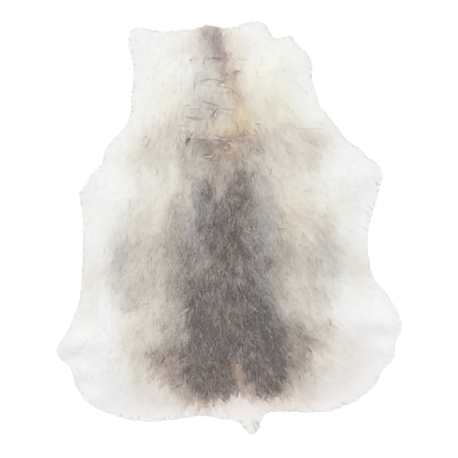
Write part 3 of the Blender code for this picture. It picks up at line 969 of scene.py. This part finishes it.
def make_strands(name, form, clumps, material, chance):
    """Strands that grow in clumps and come together at their tips, as one piece."""
    count = len(clumps)
    shade = markings(clumps)[:, 0]
    vivid = vividness(shade)
    twist, stray, tufted, bend = (between(pair, vivid) for pair in (CLUMP_TURN, STRAY_TURN, TUFT_TURN, BOW))
    astray = chance.uniform(0, 1, count) < STRAY_CLUMPS
    calm = 1 - CALM * smooth_step((CALM_BELOW - clumps[:, 1]) / RUFFLED_BLEND)
    twist, tufted = np.where(astray, stray, twist) * calm, tufted * calm
    turn = SWAY * waves(clumps, SWAY_SIZE, 41) + tufted * waves(clumps, TUFT_SIZE, 42)
    turn += chance.normal(0, 1, count) * twist
    turn += tufted * 0.5 * waves(clumps, TUFT_SIZE / 2, 46)
    way = turned(form.flow(clumps), turn)
    length = between(HAIR_LENGTH, smooth_step(form.inside.at(clumps) / LENGTH_SLOPE))
    length *= chance.uniform(*CLUMP_LENGTHS, count)
    length *= between(LENGTH_SHARE, vivid)
    bow = (chance.normal(0, SPREAD, count) + 1.4 * waves(clumps, BOW_SIZE, 45)) * bend
    rise = waves(clumps, RELIEF_SIZE, 43) + chance.normal(0, SPREAD, count)
    spill = chance.normal(0, SPILL, count)
    tuft = chance.uniform(0, 1, count)
    # Clumps astray more often get pale or dark ends: partly painted highlight and shade of a tuft that lies
    # apart.
    tuft = np.where(astray, np.round(tuft) * 0.5 + tuft * 0.5, tuft)
    clump, way, length, bow, rise, spill, tuft, shade, vivid = (
        np.repeat(values, STRANDS, axis=0)
        for values in (clumps, way, length, bow, rise, spill, tuft, shade, vivid)
    )
    total = len(clump)
    side = np.stack([-way[:, 1], way[:, 0]], 1)
    offset = side * chance.uniform(-1, 1, (total, 1)) * CLUMP[0]
    offset += way * chance.uniform(-1, 1, (total, 1)) * CLUMP[1]
    offset *= np.where(form.inside.at(clump + offset) < 0, 0.3, 1.0)[:, None]
    root = clump + offset
    reach = length * chance.uniform(*STRAND_LENGTHS, total)
    tip = clump + way * reach[:, None] + offset * (1 - between(PINCH, vivid))[:, None]
    tip += chance.normal(0, TIP_SPREAD, (total, 2))
    share, sunk = parted(root, tip, chance.normal(0, PARTING_STRAY, total))
    room = form.inside.at(root) + OVERHANG * chance.uniform(*RIM_REACH, total)
    outward = form.inside.at(root) - form.inside.at(tip)
    share = np.minimum(share, np.clip(room / np.maximum(outward, 1e-6), 0.3, 1))
    tip = root + (tip - root) * share[:, None]
    bow = (bow + chance.normal(0, 0.8, total) * MM) * share
    flat = straight(root, tip) + side[:, None] * (bow[:, None] * 4 * STATIONS * (1 - STATIONS))[..., None]
    deep = form.coat_depth(flat)
    depth = between(ROOT_SHARE, vivid) + SUNK_SHARE * sunk
    start = deep[:, :1] * depth[:, None] * (1 - STATIONS) ** ROOT_CURVE
    rise = (rise + chance.normal(0, SPREAD, total)) * between(RELIEF, vivid) * MM
    lift = rise[:, None] * STATIONS * deep / FULL_DEPTH
    height = form.lift.at(flat) + deep - start + lift
    roll = chance.normal(0, 1, total) * between(ROLL, vivid)
    facing = unit(np.column_stack([side * np.sin(roll)[:, None], np.cos(roll)]))
    normals = form.normal(flat[:, 2])
    normals = unit(normals + (facing - normals) * (FLAT_LIGHT * shade)[:, None])
    colours = markings(clump + way * (length * MARKED_AT + spill)[:, None])
    # Strands sunk under a parting are darker towards the root: partly painted shade, partly their own roots.
    deepened = sunk[:, None] * PARTING_DARKNESS * (1 - STATIONS) ** 1.2
    chances = np.column_stack([chance.uniform(0, 1, total), tuft])
    widths = between(STRAND_WIDTH, vivid) * chance.uniform(0.75, 1.25, total)
    return hair_piece(name, flat, height, facing, normals, widths, colours, chances, material, deepened)


def make_fringe(form, material, chance):
    """Short hair that grows thickly from the skin's edge and hides the cut."""
    count = round(len(form.edge) * EDGE_STEP / FRINGE_SPACING)
    spot = chance.uniform(0, len(form.edge), count)
    number = spot.astype(int)
    share = (spot - number)[:, None]
    after = (number + 1) % len(form.edge)
    edge = form.edge[number] * (1 - share) + form.edge[after] * share
    out = unit(form.outward[number] * (1 - share) + form.outward[after] * share)
    way = turned(unit(out + FRINGE_FLOW * form.flow(edge)), chance.normal(0, FRINGE_TURN, count))
    root = edge - out * chance.uniform(*FRINGE_INSET, (count, 1))
    length = chance.uniform(*FRINGE_LENGTH, count)
    flat = straight(root, root + way * length[:, None])
    rise = chance.uniform(*FRINGE_RISE, count)[:, None] * (1 - 0.5 * STATIONS)
    height = form.lift.at(flat) + SKIN_THICKNESS / 2 + form.coat_depth(flat) * rise
    facing = unit(np.column_stack([way * 0.15, np.ones(count)]))
    chances = chance.uniform(0.2, 0.9, (count, 2))
    widths = STRAND_WIDTH[0] * chance.uniform(0.6, 1.0, count)
    return hair_piece("coat_fringe", flat, height, facing, facing, widths, markings(root), chances, material)


def loose_wisps(form, chance):
    """Wisps astray all over the dark hair, in rows like PARTINGS, with 1 for a dark one and -1 for a pale."""
    # The dark and pale wisps are partly the hair's own colour, partly painted shade and highlight.
    places = lattice(form, LOOSE_SPACING, LOOSE_INSET, chance)
    vivid = vividness(markings(places)[:, 0] * LOOSE_SHARE)
    kept = chance.uniform(0, 1, len(places)) < vivid * LOOSE_SHARE
    places, vivid = places[kept], vivid[kept]
    count = len(places)
    way = form.flow(places)
    turn = np.degrees(np.arctan2(way[:, 1], way[:, 0])) + chance.normal(0, LOOSE_TURN, count)
    sign = np.where(chance.uniform(0, 1, count) < 0.5, 1, -1)
    change = between(LOOSE_CHANGE, chance.uniform(0, 1, count) ** 2.2)
    ruffled = RUFFLED * smooth_step((RUFFLED_BELOW - places[:, 1]) / RUFFLED_BLEND)
    change *= np.where(sign > 0, 1.0 + ruffled, 0.6) * np.minimum(0.35 + vivid, 1.0)
    return np.column_stack([places / MM, chance.uniform(*LOOSE_LENGTH, count), turn, change, sign])


def make_wisps(form, material, chance):
    """Short hair: dark on the partings, partly painted shade, pale beside them as painted highlights, and
    loose wisps of the back.
    """
    rows = [(*row, 1.0) for row in PARTINGS] + [(*row, -1.0) for row in PARTING_HIGHLIGHTS]
    rows = np.vstack([rows, loose_wisps(form, chance)])
    number = np.repeat(np.arange(len(rows)), np.round(LEAST_WISP + rows[:, 2] / WISP_SPACING).astype(int))
    bend = (chance.uniform(-WISP_BEND, WISP_BEND, len(rows)) * rows[:, 2])[number]
    x, y, extent, turn, change, sign = rows[number].T
    count = len(number)
    along = chance.uniform(-0.5, 0.5, count)
    line = turned(np.tile((1.0, 0.0), (count, 1)), turn)
    way = turned(line, chance.normal(0, WISP_TURN, count) - np.degrees(8 * bend / extent * along))
    middle = np.stack([x, y], 1) + line * (along * extent)[:, None]
    middle += turned(line, 90) * (bend * (1 - 4 * along**2) + chance.normal(0, 0.8, count))[:, None]
    middle[:, 1] += wavy(middle * MM, WISP_SWAY)
    length = np.minimum(extent * 0.7, WISP_LENGTH) * chance.uniform(0.6, 1.1, count)
    half = way * length[:, None] / 2
    flat = straight(middle - half, middle + half) * MM
    height = form.lift.at(flat) + form.coat_depth(flat) + chance.uniform(*WISP_RISE, (count, 1))
    facing = np.tile((0.0, 0.0, 1.0), (count, 1))
    normals = form.normal(middle * MM)
    colours = markings(middle * MM)
    strength = change * sign * (1.1 - 1.2 * np.abs(along)) * chance.uniform(0.6, 1.2, count)
    colours[:, 0] += np.where(sign > 0, DARKEST - colours[:, 0], colours[:, 0]) * strength
    colours[:, 0] = np.clip(colours[:, 0], 0, DARKEST)
    chances = chance.uniform(0.35, 0.65, (count, 2))
    widths = chance.uniform(*WISP_WIDTH, count)
    return hair_piece("coat_wisps", flat, height, facing, normals, widths, colours, chances, material)


STRIPS = ("coat_left_flank", "coat_left_side", "coat_back", "coat_right_side", "coat_right_flank")


def make_coat(form, material, chance):
    """The long hair, in strips that run from the neck to the tail and have the same number of clumps each."""
    clumps = staggered(form, CLUMP, CLUMP / 2, CLUMP_INSET, chance)
    parts = np.array_split(clumps[np.argsort(clumps[:, 0])], len(STRIPS))
    strips = [make_strands(name, form, part, material, chance) for name, part in zip(STRIPS, parts)]
    return strips + [make_fringe(form, material, chance), make_wisps(form, material, chance)]


# ---- Stage ----

VIEW_WIDTH = 1.374  # metres of the floor that the picture shows
VIEW_MIDDLE = (1.5 * MM, -3 * MM)
LENS = 90.0
SENSOR = 36.0
FLOOR_SIZE = 60.0
WHITE = (1.0, 1.0, 1.0, 1.0)
FLOOR_LOOKS = {
    "Base Color": (0.80, 0.80, 0.80, 1.0),
    "Roughness": 0.9,
    "Specular IOR Level": 0.0,
    "Emission Color": WHITE,
    "Emission Strength": 0.35,  # a lit white sheet, so shadows on it stay faint
}
SKY = 0.445
SUN = 2.325
SUN_WIDTH = 60.0  # degrees
SUN_PLACE = (-0.3, 1.0, 2.4)


def make_stage():
    material, _, _ = new_material("floor", FLOOR_LOOKS)
    half = FLOOR_SIZE / 2
    corners = [(-half, -half, 0), (half, -half, 0), (half, half, 0), (-half, half, 0)]
    floor = new_piece("floor", corners, [np.array([[0, 1, 2, 3]])], material)
    floor.location.z = -0.2 * MM


def make_light():
    world = bpy.data.worlds.new("studio")
    bpy.context.scene.world = world
    world.use_nodes = True
    background = world.node_tree.nodes["Background"]
    background.inputs["Color"].default_value = WHITE
    background.inputs["Strength"].default_value = SKY
    lamp = bpy.data.lights.new("softbox", "SUN")
    lamp.energy = SUN
    lamp.angle = math.radians(SUN_WIDTH)
    box = placed("softbox", lamp)
    box.location = SUN_PLACE
    box.rotation_euler = box.location.to_track_quat("Z", "Y").to_euler()
    bpy.context.scene.view_settings.view_transform = "Standard"


def make_camera():
    data = bpy.data.cameras.new("camera")
    data.lens = LENS
    data.sensor_width = SENSOR
    data.clip_end = 100.0
    camera = placed("camera", data)
    camera.location = (*VIEW_MIDDLE, VIEW_WIDTH * LENS / SENSOR + 20 * MM)
    bpy.context.scene.camera = camera


def box_of(bounds):
    return [list(corner) for corner in bounds]


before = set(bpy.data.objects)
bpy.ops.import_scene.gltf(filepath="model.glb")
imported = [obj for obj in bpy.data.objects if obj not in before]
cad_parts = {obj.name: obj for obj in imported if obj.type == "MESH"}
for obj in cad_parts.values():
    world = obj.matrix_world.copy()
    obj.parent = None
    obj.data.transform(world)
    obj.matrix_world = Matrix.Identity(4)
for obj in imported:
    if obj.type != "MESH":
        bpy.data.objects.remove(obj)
solid_box = box_of(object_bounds())
make_camera()
make_light()
make_stage()

chance = np.random.default_rng(SEED)
form = Form(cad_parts["hide"])
colours = coat_colours()
hair = coat_material("hair", 0.55, 0.25, colours)
wool = coat_material("underfur", 0.9, 0.1, colours)
skin = make_skin(form, suede_material(), wool, chance)
underfur = make_underfur(form, wool, chance)
coat = make_coat(form, hair, chance)

width, length, _ = np.subtract(*solid_box[::-1])
hairy = [underfur, *coat]
for piece in (skin, *hairy):
    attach(piece, "root")
    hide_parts("hide")
